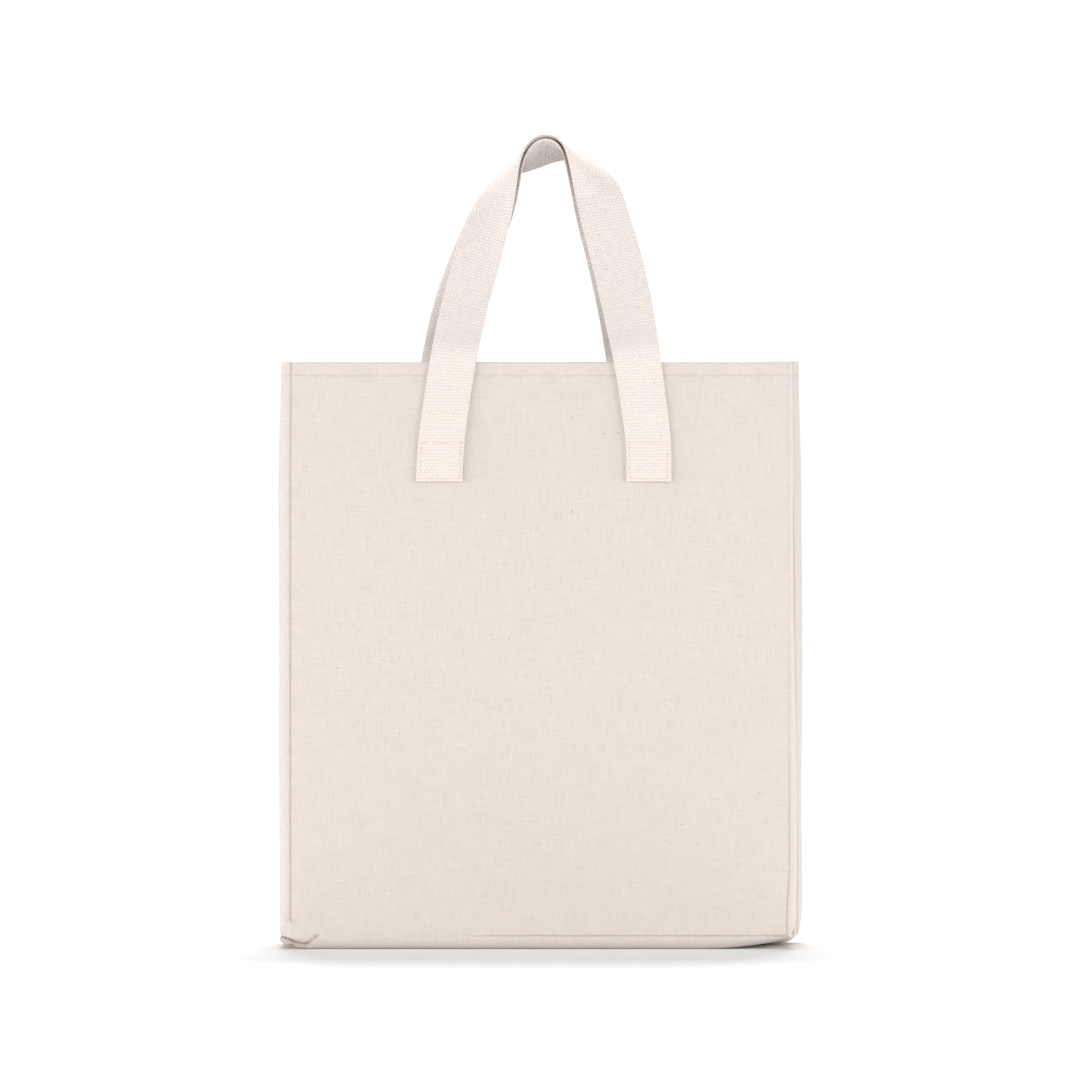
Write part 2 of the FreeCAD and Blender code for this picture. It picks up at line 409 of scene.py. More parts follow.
def canvas_material(settings):
    """Unbleached 12 oz cotton canvas, plain woven and not dyed: matt, warm, with slubs and husk flecks.

    Real threads lie 0.8 mm apart; they are drawn 1.3 mm apart so that the weave can still be seen.
    """
    material, tree = new_material("unbleached_cotton_canvas")
    cloth = add(tree, "ShaderNodeUVMap", {"uv_map": "cloth"})
    axes = uneven_axes(tree, cloth, 170.0, 0.0011)
    turn = 2.0 * math.pi / CANVAS_REPEAT
    warp, weft = (add(tree, MATH, SINE, add(tree, MATH, TIMES, axes[i], turn)) for i in (0, 1))
    weave = add(tree, MATH, TIMES_ADD, add(tree, MATH, TIMES, warp, weft), 0.5, 0.5)
    streaks = []
    for stretch in ((60.0, 850.0, 1.0), (850.0, 60.0, 1.0)):
        yarn = add(tree, "ShaderNodeMapping", None, Vector=cloth, Scale=stretch)
        streaks.append(add(tree, NOISE, None, Vector=yarn, Scale=1.0, Detail=3.0, Roughness=0.6))
    slubs = add(tree, MATH, ADD, *streaks)
    mottle = add(tree, NOISE, None, Vector=cloth, Scale=260.0, Detail=4.0, Roughness=0.65)
    patch = add(tree, NOISE, None, Vector=cloth, Scale=9.0, Detail=2.0, Roughness=0.5)
    tone = layered(tree, 0.715, (slubs, 0.2), (mottle, 0.10), (patch, 0.04), (weave, 0.02))
    colour = toned(tree, tone, settings.canvas_colour)
    flecks = husk_flecks(tree, cloth, 90.0, 0.055, 0.10)
    colour = stain_and_painted_shade(tree, add(tree, MATH, TIMES, flecks, 0.45), colour, "#8A7058")
    # Painted shade: the crease attribute darkens and browns the canvas along its seams, tucks, folds and hem
    # stitching, where shade falls.
    crease = add(tree, "ShaderNodeAttribute", {"attribute_name": "crease"}).outputs["Fac"]
    colour = stain_and_painted_shade(tree, crease, colour, "#9C7F68")
    height = layered(tree, 0.0, (weave, 0.45), (slubs, 1.3), (mottle, 0.8))
    surface = {"Roughness": 0.92, "IOR": 1.45, "Sheen_Weight": 0.12, "Sheen_Roughness": 0.6}
    finish_fabric(tree, colour, height, 0.35, 0.00035, **surface)
    return material


def webbing_material(settings):
    """Woven cotton webbing in thick soft yarn, paler than the canvas.

    Each yarn shows as an oval knuckle 2.9 mm wide and 2.2 mm long, half a knuckle over in the next row.
    """
    material, tree = new_material("woven_cotton_webbing")
    strap = add(tree, "ShaderNodeUVMap", {"uv_map": "cloth"})
    axes = uneven_axes(tree, strap, 240.0, 0.0012)
    along = add(tree, MATH, DIVIDE, axes[1], KNUCKLE_LONG)
    row = add(tree, MATH, FLOOR, along)
    shift = add(tree, MATH, TIMES, add(tree, MATH, REMAINDER, row, 2.0), 0.5)
    across = add(tree, MATH, ADD, add(tree, MATH, DIVIDE, axes[0], KNUCKLE_WIDE), shift)
    humps = [
        add(tree, MATH, SINE, add(tree, MATH, TIMES, add(tree, MATH, FRACTION, run), math.pi))
        for run in (across, along)
    ]
    knuckle = add(tree, MATH, POWER, add(tree, MATH, TIMES, *humps), 0.6)
    fibre = add(tree, NOISE, None, Vector=strap, Scale=520.0, Detail=4.0, Roughness=0.65)
    patch = add(tree, NOISE, None, Vector=strap, Scale=30.0, Detail=2.0, Roughness=0.5)
    cell = add(tree, "ShaderNodeCombineXYZ", None, X=add(tree, MATH, FLOOR, across), Y=row)
    odd = add(tree, "ShaderNodeTexWhiteNoise", {"noise_dimensions": "2D"}, Vector=cell).outputs["Value"]
    # Painted light and shade: each knuckle's crown is made lighter and the gaps between knuckles darker and
    # browner, as light falls over the woven relief; the odd knuckles, fibre and patches are the yarn's own
    # tone.
    tone = layered(tree, 0.85, (knuckle, 0.09), (odd, 0.045), (fibre, 0.09), (patch, 0.03))
    colour = toned(tree, tone, settings.webbing_colour)
    painted_gap_shade = add(tree, MATH, TIMES, add(tree, MATH, SUBTRACT, 1.0, knuckle), 0.34)
    colour = stain_and_painted_shade(tree, painted_gap_shade, colour, "#BBAA9A")
    flecks = husk_flecks(tree, strap, 120.0, 0.07, 0.18)
    colour = stain_and_painted_shade(tree, add(tree, MATH, TIMES, flecks, 0.5), colour, "#7A6654")
    # Painted shade: the crease attribute darkens the webbing where the straps lie in each other and along its
    # edges.
    crease = add(tree, "ShaderNodeAttribute", {"attribute_name": "crease"}).outputs["Fac"]
    colour = stain_and_painted_shade(tree, crease, colour, "#92745A")
    height = layered(tree, knuckle, (fibre, 0.5))
    surface = {"Roughness": 0.9, "IOR": 1.45, "Sheen_Weight": 0.15, "Sheen_Roughness": 0.6}
    finish_fabric(tree, colour, height, 0.42, 0.0005, **surface)
    return material


def thread_material(settings):
    """Spun cotton sewing thread: two plies twisted together, seen as a slight change of tone along it."""
    material, tree = new_material("spun_cotton_thread")
    place = add(tree, "ShaderNodeTexCoord").outputs["Object"]
    plies = add(tree, NOISE, None, Vector=place, Scale=1500.0, Detail=2.0, Roughness=0.5)
    colour = toned(tree, layered(tree, 0.86, (plies, 0.24)), settings.thread_colour)
    finish_fabric(tree, colour, plies, 0.3, 0.0001, Roughness=0.75, IOR=1.5, Sheen_Weight=0.1)
    return material


def paper_material():
    """Matt white background paper: it scatters all light and shows no gloss."""
    material, tree = new_material("matt_white_paper")
    place = add(tree, "ShaderNodeTexCoord").outputs["Object"]
    grain = add(tree, NOISE, None, Vector=place, Scale=40.0, Detail=3.0, Roughness=0.5)
    tone = layered(tree, 0.8, (grain, 0.01))
    grey = add(tree, "ShaderNodeCombineColor", None, Red=tone, Green=tone, Blue=tone)
    shader = add(tree, "ShaderNodeBsdfPrincipled", None, Base_Color=grey, Roughness=0.95)
    add(tree, "ShaderNodeOutputMaterial", None, Surface=shader)
    return material


# ---------------------------------------------------------------- cloth shell


def graded(*runs):
    """Grid lines over runs of (from, to, step), each run divided evenly."""
    lines = [runs[0][0]]
    for start, end, step in runs:
        count = max(1, round(abs(end - start) / step))
        lines += [start + (end - start) * (i + 1) / count for i in range(count)]
    return np.array(lines)


def ramp(value, low, high):
    """0 below low, 1 above high, and a smooth step between."""
    t = np.clip((value - low) / (high - low), 0.0, 1.0)
    return t * t * (3.0 - 2.0 * t)


def line_distance(x, z, points):
    """Distance in the XZ plane from each point to a broken line."""
    best = np.full(x.shape, 1e9)
    for (ax, az), (bx, bz) in zip(points[:-1], points[1:]):
        dx, dz = bx - ax, bz - az
        t = np.clip(((x - ax) * dx + (z - az) * dz) / (dx * dx + dz * dz), 0.0, 1.0)
        best = np.minimum(best, np.hypot(x - ax - t * dx, z - az - t * dz))
    return best


# The tuck at the foot of the left corner, and the short crease beside it, as lines in the XZ plane.
TUCK = ((-187.0, 9.6), (-183.6, 8.4), (-179.9, 6.7), (-175.6, 4.9), (-170.5, 3.3), (-165.0, 2.3))
SIDE_CREASE = ((-158.5, 9.2), (-162.0, 6.6), (-166.5, 2.2))
SEAM_END_CREASE = ((-177.4, 21.0), (-179.4, 19.5), (-181.2, 15.0))


def seam_depths(x, y, z):
    """How deep the sewn seams and folds pull the cloth in, from 0 to 1, at points of the plain box."""
    face = (np.abs(y) > HALF_DEPTH - 1.0).astype(float)
    front = (y < 0.0).astype(float)
    above = ramp(z, BASE_ROUND - 1.5, BASE_ROUND + 0.5)
    left_end = np.where((x < 0.0) & (front > 0.5), ramp(z, 18.0, 23.0), 0.85 - 0.5 * ramp(z, 40.0, 240.0))
    upright = np.exp(-(((np.abs(x) - SEAM_X) / 0.75) ** 2)) * above * left_end * face
    strength = np.where(front > 0.5, 0.12 + 0.88 * ramp(x, -75.0, -20.0), 0.8)
    flat = np.exp(-(((z - BASE_ROUND) / 0.7) ** 2)) * strength * face * (np.abs(x) < SEAM_X + 2.0)
    return np.maximum(upright, flat)


def cloth_surface(box, settings):
    """Where points of the plain box lie on the real cloth, with the painted crease shade of each."""
    x, y, z = box.T
    inner = np.stack(
        [
            np.clip(x, -SEAM_X, SEAM_X),
            np.clip(y, EDGE_ROUND - HALF_DEPTH, HALF_DEPTH - EDGE_ROUND),
            np.maximum(z, BASE_ROUND),
        ],
        1,
    )
    radii = np.array([EDGE_ROUND, EDGE_ROUND, BASE_ROUND])
    away = (box - inner) / radii
    away /= np.maximum(np.linalg.norm(away, axis=1), 1e-9)[:, None]
    out = inner + radii * away
    pinch = 0.8 * ramp(-x, SEAM_X - 3.0, SEAM_X + 4.0)
    pinch *= (1.0 - ramp(z, 7.0, 14.0)) * (1.0 - ramp(y, -20.0, 20.0))
    out += (box - out) * pinch[:, None]
    normal = away / radii
    normal /= np.maximum(np.linalg.norm(normal, axis=1), 1e-9)[:, None]
    px, py, pz = out.T.copy()

    # The right side: a front ridge drawn in, a shallow inward crease and a fuller rear corner.
    right = np.clip((px - 170.0) / 15.0, 0.0, 1.2) ** 3
    up = np.clip(z / HEIGHT, 0.0, 1.0)
    ridge = -1.9 - 3.2 * ramp(z, 20.0, 340.0) - 0.5 * ramp(z, 340.0, 417.0)
    valley = ridge - 1.6 - 2.4 * (1.0 - ramp(z, 10.0, 60.0))
    rear = 4.2 - 2.4 * ramp(z, 330.0, 417.0) - 2.6 * (1.0 - ramp(z, 0.0, 24.0))
    forward = np.clip((py + 46.0) / 46.0, 0.0, 1.0)
    backward = np.clip(py / 44.0, 0.0, 1.0)
    forward = 0.6 * forward + 0.4 * ramp(forward, 0.0, 1.0)
    backward = 0.6 * backward + 0.4 * ramp(backward, 0.0, 1.0)
    px += right * np.where(py < 0.0, ridge + (valley - ridge) * forward, valley + (rear - valley) * backward)
    px -= 1.7 * ramp(-z, -60.0, -20.0) * np.exp(-(((x - SEAM_X) / 16.0) ** 2)) * (py < 0.0)

    # The left side: a full front corner and a shallow crease.
    left = np.clip((-out[:, 0] - 170.0) / 15.0, 0.0, 1.3) ** 2
    fold = np.exp(-np.abs(py / 15.0) ** 1.3)
    px += left * (0.1 - 0.8 * ramp(z, 60.0, 260.0) + 1.9 * ramp(z, 320.0, 417.0))
    px += left * 2.8 * fold * ramp(z, 12.0, 60.0)

    # Panels belly a little, and the handles draw the mouth in.
    panel = np.clip(np.abs(out[:, 1]) - 42.0, 0.0, 8.0) / 8.0
    side = np.sign(out[:, 1])
    width_share = np.clip(1.0 - (out[:, 0] / SEAM_X) ** 2, 0.0, 1.0)
    belly = TO_MM * settings.belly * width_share * np.sin(math.pi * np.clip(up * 1.05, 0.0, 1.0)) ** 0.8
    bow = TO_MM * settings.mouth_bow * width_share**0.6 * ramp(z, 300.0, 417.0)
    swell = 0.55 * np.sin(x / 41.0 + 0.6 * side) * np.sin(z / 63.0 + 0.4)
    swell += 0.35 * np.sin(x / 19.0 + z / 47.0 + 1.1 * side)
    swell += 0.3 * np.sin(x / 33.0 - z / 29.0 + 2.0 * side)
    swell *= width_share**0.7 * ramp(z, 10.0, 60.0)
    py += panel * side * (belly - bow + swell)
    gusset = np.clip(np.abs(out[:, 0]) - 177.0, 0.0, 8.0) / 8.0
    px += gusset * np.sign(x) * 0.35 * np.sin(z / 37.0 + y / 23.0) * ramp(z, 20.0, 60.0)

    # The front edge of the base lifts towards the right corner.
    lift = 6.6 * np.clip((out[:, 0] - 118.0) / 58.0, 0.0, 1.0) ** 1.7
    lift *= 1.0 - 0.75 * ramp(out[:, 1], -46.0, 20.0)
    left_lift = np.interp(-out[:, 0], (166.0, 172.8, 175.6, 180.6, 185.0), (0.0, 0.4, 2.1, 3.3, 5.6))
    lift += left_lift * (1.0 - 0.3 * ramp(out[:, 1], -30.0, 40.0))
    pz += lift * np.clip(1.0 - out[:, 2] / BASE_ROUND, 0.0, 1.0)

    # The mouth stands a little higher at the rear right corner.
    pz += 2.6 * ramp(out[:, 1], -44.0, 40.0) * ramp(out[:, 0], 60.0, 180.0) * ramp(z, 330.0, 417.0)

    # Tucks and creases at the foot of the left corner.
    near_front = 1.0 - ramp(out[:, 1], -36.0, -20.0)
    tuck = line_distance(out[:, 0], out[:, 2], TUCK)
    groove = 3.1 * np.exp(-((tuck / 1.15) ** 2)) * near_front
    crease = line_distance(out[:, 0], out[:, 2], SIDE_CREASE)
    groove += 1.9 * np.exp(-((crease / 1.3) ** 2)) * near_front
    seam_end = line_distance(out[:, 0], out[:, 2], SEAM_END_CREASE)
    groove += 0.7 * np.exp(-((seam_end / 1.1) ** 2)) * near_front
    cushion = np.exp(-(((out[:, 0] + 172.0) / 9.0) ** 2) - ((out[:, 2] - 8.6) / 3.4) ** 2) * near_front
    groove -= 1.6 * cushion
    seams = seam_depths(x, y, z)
    groove += 0.85 * seams
    pocket = np.exp(-(((px - 180.7 - (pz - 12.5) * 0.35) / 0.9) ** 2) - ((pz - 12.5) / 3.4) ** 2)
    pocket *= out[:, 1] < -30.0
    groove += 1.5 * pocket
    row = np.exp(-(((z - HEM_STITCH_Z) / 0.8) ** 2))
    groove += 0.28 * row
    place = np.stack([px, py, pz], 1) - normal * groove[:, None]
    # Painted shade: the colour is darkened along the seams, the tuck, the side crease and the hem stitch row,
    # just behind the right ridge where the rear fold shows, in the slit at its foot and on the lip under the
    # tuck, where shade falls.
    shade = 0.24 * seams + 0.28 * np.exp(-((tuck / 1.0) ** 2)) * near_front + 0.08 * row
    behind = (out[:, 1] > -30.0) & (out[:, 0] > 178.0)
    edge = SEAM_X + EDGE_ROUND + ridge
    shade += 0.7 * behind * np.exp(-(((px - edge - 2.1) / 0.5) ** 2)) * (out[:, 1] > 0.0)
    shade += 0.5 * behind * np.exp(-(((z - 12.0) / 7.0) ** 2)) * np.exp(-((out[:, 1] / 16.0) ** 2))
    shade += 1.0 * pocket
    shade += 0.18 * np.exp(-((crease / 1.0) ** 2)) * near_front
    tuck_height = np.interp(out[:, 0], [p[0] for p in TUCK], [p[1] for p in TUCK])
    under_tuck = 1.0 - ramp(out[:, 2], tuck_height - 1.5, tuck_height + 0.3)
    shade += 0.3 * (1.0 - ramp(out[:, 0], -172.0, -164.0)) * under_tuck
    return place, np.clip(shade, 0.0, 1.0)


def gusset_foot(y):
    """Height at which the gusset's cut edge meets the corner cloth."""
    return BASE_ROUND + (HALF_DEPTH - np.abs(y)) * GUSSET_MITRE


def base_half_width(y):
    """Half the width of the base between its two mitred corners."""
    return SEAM_X - (HALF_DEPTH - np.abs(y)) * BASE_MITRE


def shell_patches():
    """The box as grids of points, each with its region, its grid and the cloth's own u and v."""
    front_x = graded(
        (-SEAM_X, -173.0, 0.5),
        (-173.0, -140.0, 1.5),
        (-140.0, 170.0, 5.0),
        (170.0, 173.0, 1.5),
        (173.0, SEAM_X, 0.5),
    )
    back_x = graded((SEAM_X, 173.0, 0.6), (173.0, -173.0, 6.0), (-173.0, -SEAM_X, 0.6))
    corner = np.linspace(0.0, 1.0, 9)
    edge = HALF_DEPTH - EDGE_ROUND
    half_y = graded(
        (-HALF_DEPTH, -edge, 1.0),
        (-edge, -GUSSET_CUT_Y, 2.0),
        (-GUSSET_CUT_Y, -8.0, 3.75),
        (-8.0, 0.0, 1.6),
    )
    gusset_y = np.concatenate([half_y, -half_y[-2::-1]])
    rows = graded(
        (BASE_ROUND, 13.3, 0.5),
        (13.3, 34.0, 1.5),
        (34.0, 400.0, 6.0),
        (400.0, 404.5, 1.5),
        (404.5, 409.5, 0.5),
        (409.5, HEIGHT - TOP_ROUND, 1.3),
    )
    fall = graded((BASE_ROUND, 0.0, 0.9))
    sheared = np.clip(1.0 - (rows - BASE_ROUND) / 120.0, 0.0, 1.0)

    def patch(region, x, y, z, u, v):
        """A grid of points of one region, with the cloth's own u and v there."""
        x, y, z, u, v = np.broadcast_arrays(x, y, z, u, v)
        return region, np.stack([x, y, z], -1), np.stack([u, v], -1)

    def wall(x, y, u, region):
        """An upright grid over columns at x and y, whose cloth is u from the middle of the front."""
        x, y, u = np.broadcast_arrays(x, y, u)
        foot = np.where(np.abs(x) > HALF_WIDTH - 1e-6, gusset_foot(y) - BASE_ROUND, 0.0)
        z = rows[:, None] + sheared[:, None] * foot
        return patch(region, x, y, z, u, z)

    def gusset(sign, y, region):
        """A wall of the left (-1) or right (1) gusset."""
        return wall(sign * HALF_WIDTH, y, sign * HALF_WIDTH + sign * (y + 50.0), region)

    def joined(first, second):
        """One region's two grids share a column; the second goes on from the first."""
        return (
            first[0],
            np.concatenate([first[1][:, :-1], second[1]], 1),
            np.concatenate([first[2][:, :-1], second[2]], 1),
        )

    cut = int(np.argmin(np.abs(gusset_y + GUSSET_CUT_Y)))
    middle = int(np.argmin(np.abs(gusset_y)))
    last = len(gusset_y) - 1 - cut
    across = EDGE_ROUND * corner
    y = gusset_y
    left, right = -HALF_WIDTH + across, SEAM_X + across
    back_right, back_left = HALF_WIDTH - across, -SEAM_X - across
    # At the box's own corners a face takes over from a gusset, at the same point.
    out = [
        gusset(-1.0, y[cut : last + 1][::-1], "left_gusset"),
        joined(
            gusset(-1.0, y[: cut + 1][::-1], "left_front_corner"),
            wall(left, -HALF_DEPTH, left, "left_front_corner"),
        ),
        wall(front_x, -HALF_DEPTH, front_x, "front_panel"),
        joined(
            wall(right, -HALF_DEPTH, right, "right_front_corner"),
            gusset(1.0, y[: cut + 1], "right_front_corner"),
        ),
        gusset(1.0, y[cut : middle + 1], "right_gusset_front"),
        gusset(1.0, y[middle : last + 1], "right_gusset_back"),
        joined(
            gusset(1.0, y[last:], "right_back_corner"),
            wall(back_right, HALF_DEPTH, HALF_WIDTH + 100.0 + across, "right_back_corner"),
        ),
        wall(back_x, HALF_DEPTH, 470.0 - back_x, "back_panel"),
        joined(
            wall(back_left, HALF_DEPTH, -HALF_WIDTH - 100.0 - EDGE_ROUND + across, "left_back_corner"),
            gusset(-1.0, y[last:][::-1], "left_back_corner"),
        ),
    ]

    for sign, columns, region in ((-1.0, front_x, "base_front"), (1.0, back_x, "base_back")):
        drop_z = np.concatenate([fall, np.zeros(len(half_y) - 1)])
        run_y = np.concatenate([np.full(len(fall), HALF_DEPTH), -half_y[1:]])
        scale = base_half_width(run_y) / SEAM_X
        scale[: len(fall)] = 1.0
        x = columns * scale[:, None]
        v = drop_z - (HALF_DEPTH - run_y)
        out.append(patch(region, x, sign * run_y[:, None], drop_z[:, None], x, v[:, None]))

    foot = (fall / BASE_ROUND)[:, None] * gusset_foot(gusset_y)
    reach = corner[:, None] * (HALF_WIDTH - base_half_width(gusset_y))
    for sign, region in ((-1.0, "left_corner"), (1.0, "right_corner")):
        x, z = sign * (HALF_WIDTH - across), fall[:, None]
        u = sign * (HALF_WIDTH + gusset_y + 50.0)
        out += [patch(region, x, depth, z, x, z) for depth in (-HALF_DEPTH, HALF_DEPTH)]
        out.append(patch(region, sign * HALF_WIDTH, gusset_y, foot, u, foot))
        out.append(patch(region, sign * (HALF_WIDTH - reach), gusset_y, 0.0, u, -reach))
    return out


class Shell:
    """The whole bag's cloth as one welded surface, cut into regions that each follow one body or one fold."""

    def __init__(self, settings):
        keys, points, shades = {}, [], []
        self.regions = {}
        for region, grid, uv in shell_patches():
            flat = grid.reshape(-1, 3)
            ids = np.empty(len(flat), int)
            for i, point in enumerate(flat):
                key = (round(point[0], 4), round(point[1], 4), round(point[2], 4))
                if key not in keys:
                    keys[key] = len(points)
                    points.append(point)
                ids[i] = keys[key]
            ids = ids.reshape(grid.shape[:2])
            faces = np.stack([ids[:-1, :-1], ids[:-1, 1:], ids[1:, 1:], ids[1:, :-1]], -1).reshape(-1, 4)
            box = np.array(points)
            a, b, c, d = (box[faces[:, i]] for i in range(4))
            cross = np.cross(c - a, d - b)
            middle = (a + b + c + d) / 4.0
            core = np.clip(middle, (-150.0, -20.0, 60.0), (150.0, 20.0, 400.0))
            if np.sum(cross * (middle - core)) < 0.0:
                faces = faces[:, ::-1]
            store = self.regions.setdefault(region, {"faces": [], "uv": {}, "area": 0.0})
            store["faces"].append(faces)
            store["area"] += float(np.linalg.norm(cross, axis=1).sum() / 2.0)
            for i, value in zip(ids.ravel(), uv.reshape(-1, 2)):
                store["uv"][int(i)] = value
        self.box = np.array(points)
        self.place, self.shade = cloth_surface(self.box, settings)
        for store in self.regions.values():
            store["faces"] = np.concatenate(store["faces"])
        faces = np.concatenate([s["faces"] for s in self.regions.values()])
        a, b, c, d = (self.place[faces[:, i]] for i in range(4))
        cross = np.cross(c - a, d - b)
        self.normal = np.zeros_like(self.place)
        for i in range(4):
            np.add.at(self.normal, faces[:, i], cross)
        self.normal /= np.maximum(np.linalg.norm(self.normal, axis=1), 1e-9)[:, None]
        layer = TO_MM * settings.canvas_thickness
        self.thickness = np.where(self.box[:, 2] > HEM_EDGE_Z, HEM_THICKNESS, layer)

    def inside(self):
        """The inner face of the cloth."""
        return self.place - self.normal * self.thickness[:, None]

    def solid(self, region):
        """A closed solid of one region: vertices, faces, u and v, and crease shade."""
        store = self.regions[region]
        used, faces = np.unique(store["faces"], return_inverse=True)
        faces = faces.reshape(store["faces"].shape)
        count = len(used)
        outer = self.place[used]
        inner = self.inside()[used]
        verts = [outer, inner]
        uv = np.array([store["uv"][int(i)] for i in used])
        uvs = [uv, uv]
        shades = [self.shade[used], self.shade[used]]
        polys = [tuple(int(v) for v in f) for f in faces]
        polys += [tuple(int(v) + count for v in f[::-1]) for f in faces]
        edges = {}
        for f in faces:
            for a, b in zip(f, np.roll(f, -1)):
                if a != b:
                    edges[(int(a), int(b))] = True
        rim = [e for e in edges if (e[1], e[0]) not in edges]
        top = HEIGHT - TOP_ROUND - 1e-6
        on_top = self.box[used][:, 2] > top
        # The hem's folded top is rounded: three more points over each pair on its edge.
        crown = {}
        total = 2 * count
        for v in np.nonzero(on_top)[0]:
            verts.append(
                np.array(
                    [
                        outer[v] + (inner[v] - outer[v]) * share + (0.0, 0.0, TOP_ROUND * rise)
                        for share, rise in ((0.14, 0.7), (0.5, 1.0), (0.86, 0.7))
                    ]
                )
            )
            uvs.append(uv[v] + np.array([(0.0, 0.6), (0.0, 1.2), (0.0, 1.8)]))
            shades.append(np.zeros(3))
            crown[int(v)] = [int(v), total, total + 1, total + 2, int(v) + count]
            total += 3
        starts, ends = set(), set()
        for a, b in rim:
            if on_top[a] and on_top[b]:
                for i in range(4):
                    polys.append((crown[b][i], crown[a][i], crown[a][i + 1], crown[b][i + 1]))
                starts.add(a)
                ends.add(b)
            else:
                polys.append((b, a, a + count, b + count))
        for v in starts - ends:
            polys.append(tuple(crown[v][::-1]))
        for v in ends - starts:
            polys.append(tuple(crown[v]))
        return np.concatenate(verts), polys, np.concatenate(uvs), np.concatenate(shades)

    def row(self, region, z, lift, inside=False):
        """Points along one region at one height, lifted off its outer or inner face."""
        store = self.regions[region]
        used = np.array(sorted(store["uv"]))
        heights = self.box[used][:, 2]
        level = heights[np.argmin(np.abs(heights - z))]
        mine = used[np.abs(heights - level) < 1e-6]
        mine = mine[np.argsort([store["uv"][int(i)][0] for i in mine])]
        if inside:
            return self.inside()[mine] - self.normal[mine] * lift
        return self.place[mine] + self.normal[mine] * lift


def new_piece(name, verts, polys, uvs, shades, material, smooth_angle=50.0):
    """A mesh object in metres at the origin, from points in millimetres."""
    mesh = bpy.data.meshes.new(name)
    mesh.from_pydata((np.asarray(verts) * TO_M).tolist(), [], polys)
    mesh.polygons.foreach_set("use_smooth", [True] * len(mesh.polygons))
    layer = mesh.uv_layers.new(name="cloth")
    loops = np.empty(len(mesh.loops), np.int32)
    mesh.loops.foreach_get("vertex_index", loops)
    layer.data.foreach_set("uv", (np.asarray(uvs)[loops] * TO_M).ravel())
    # The crease attribute carries painted shade: how far the colour is darkened where shade falls.
    crease = mesh.attributes.new("crease", "FLOAT", "POINT")
    crease.data.foreach_set("value", np.asarray(shades, np.float32))
    mesh.materials.append(material)
    mesh.set_sharp_from_angle(angle=math.radians(smooth_angle))
    if mesh.validate():
        raise RuntimeError(f"{name} has faces that are not sound")
    mesh.update()
    obj = bpy.data.objects.new(name, mesh)
    bpy.context.scene.collection.objects.link(obj)
    return obj


def material_named(name, make, *args):
    """A material, made the first time it is asked for."""
    return bpy.data.materials.get(name) or make(*args)


# ---------------------------------------------------------------- stitches


def stitch_mesh():
    """One stitch: a thread lying along X with both ends going down into the cloth."""
    sides, verts, polys = 6, [], []
    end_to_middle = ((-0.5, 0.35, -1.1), (-0.42, 0.8, -0.15), (-0.2, 1.0, 0.3))
    profile = end_to_middle + tuple((-x, size, rise) for x, size, rise in end_to_middle[::-1])
    for x, size, rise in profile:
        for i in range(sides):
            turn = 2.0 * math.pi * i / sides
            verts.append((x, size * math.cos(turn), rise + size * math.sin(turn)))
    for ring in range(len(profile) - 1):
        for i in range(sides):
            a, b = ring * sides + i, ring * sides + (i + 1) % sides
            polys.append((a, b, b + sides, a + sides))
    polys.append(tuple(reversed(range(sides))))
    polys.append(tuple(range((len(profile) - 1) * sides, len(profile) * sides)))
    mesh = bpy.data.meshes.new("one_stitch")
    mesh.from_pydata(verts, [], polys)
    return bpy.data.objects.new("one_stitch", mesh)


def stitch_tree(stitch, material):
    """Geometry Nodes that lay one stitch after another along every line of a mesh of edges.

    The line's own outward attribute says which way each stitch faces.
    """
    tree = bpy.data.node_groups.new("stitches_along_lines", "GeometryNodeTree")
    face = tree.interface
    face.new_socket("Geometry", in_out="INPUT", socket_type="NodeSocketGeometry")
    for label in ("Pitch", "Stitch length", "Thread radius"):
        face.new_socket(label, in_out="INPUT", socket_type="NodeSocketFloat")
    face.new_socket("Geometry", in_out="OUTPUT", socket_type="NodeSocketGeometry")
    source = add(tree, "NodeGroupInput")
    pitch, length, radius = (source.outputs[label] for label in ("Pitch", "Stitch length", "Thread radius"))
    outward = add(tree, "GeometryNodeInputNamedAttribute", {"data_type": "FLOAT_VECTOR"}, Name="outward")
    curve = add(tree, "GeometryNodeMeshToCurve", None, Mesh=source.outputs["Geometry"])
    held = add(tree, "GeometryNodeCaptureAttribute", {"domain": "POINT"}, Geometry=curve)
    held.capture_items.new("VECTOR", "outward")
    tree.links.new(outward.outputs["Attribute"], held.inputs["outward"])
    spaced = add(tree, "GeometryNodeResampleCurve", {"mode": "LENGTH"}, Curve=held, Length=pitch)
    tangent = add(tree, "GeometryNodeInputTangent")
    first = add(tree, "FunctionNodeAlignRotationToVector", {"axis": "X"}, Vector=tangent)
    onto_cloth = {"axis": "Z", "pivot_axis": "X"}
    turned = add(
        tree, "FunctionNodeAlignRotationToVector", onto_cloth, Rotation=first, Vector=held.outputs["outward"]
    )
    size = add(tree, "ShaderNodeCombineXYZ", None, X=length, Y=radius, Z=radius)
    one = add(tree, "GeometryNodeObjectInfo", None, Object=stitch).outputs["Geometry"]
    placed = add(
        tree, "GeometryNodeInstanceOnPoints", None, Points=spaced, Instance=one, Rotation=turned, Scale=size
    )
    real = add(tree, "GeometryNodeRealizeInstances", None, Geometry=placed)
    coloured = add(tree, "GeometryNodeSetMaterial", None, Geometry=real, Material=material)
    add(tree, "NodeGroupOutput", None, Geometry=coloured)
    return tree


